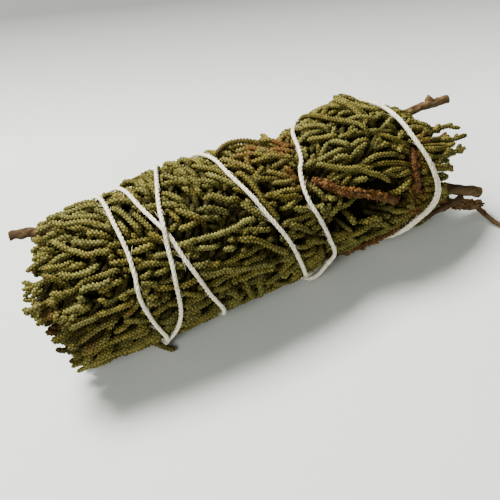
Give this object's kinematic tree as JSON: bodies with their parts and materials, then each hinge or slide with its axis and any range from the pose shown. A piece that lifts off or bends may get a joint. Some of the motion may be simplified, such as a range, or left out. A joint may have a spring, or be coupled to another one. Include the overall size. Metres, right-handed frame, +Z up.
{
  "type": "cedar smudge stick",
  "caption": "Dried cedar bundle: scale-leaf sprays laid lengthwise, wound crosswise with cotton string, leafy tips at one end and cut woody stems at the other.",
  "frame": {"origin": "middle of the bounding box's underside, on the surface the bundle lies on", "axes": "+X along the bundle towards the cut stems, +Z up"},
  "size_m": [0.1095, 0.044, 0.0337],
  "materials": {
    "foliage": "dry matte",
    "string": "matte cotton",
    "bark": "rough bark",
    "rust": "dry matte"
  },
  "bodies": {
    "root": {"spray_left_01": "foliage", "spray_left_02": "foliage", "spray_left_03": "foliage", "spray_left_04": "foliage", "spray_left_05": "foliage", "spray_left_06": "foliage", "spray_left_07": "foliage", "spray_left_08": "foliage", "spray_left_09": "foliage", "spray_right_01": "foliage", "spray_right_02": "foliage", "spray_right_03": "foliage", "spray_right_04": "foliage", "spray_right_05": "foliage", "spray_right_06": "foliage", "spray_right_07": "foliage", "string": "string", "stem_top": "bark", "stem_thick": "bark", "stem_rough": "bark", "stem_inner_1": "bark", "stem_inner_2": "bark", "stem_inner_3": "bark", "stem_low": "bark", "stub_left": "bark", "rust_twig_1": "rust", "rust_twig_2": "rust", "rust_twig_3": "rust"}
  },
  "joints": []
}
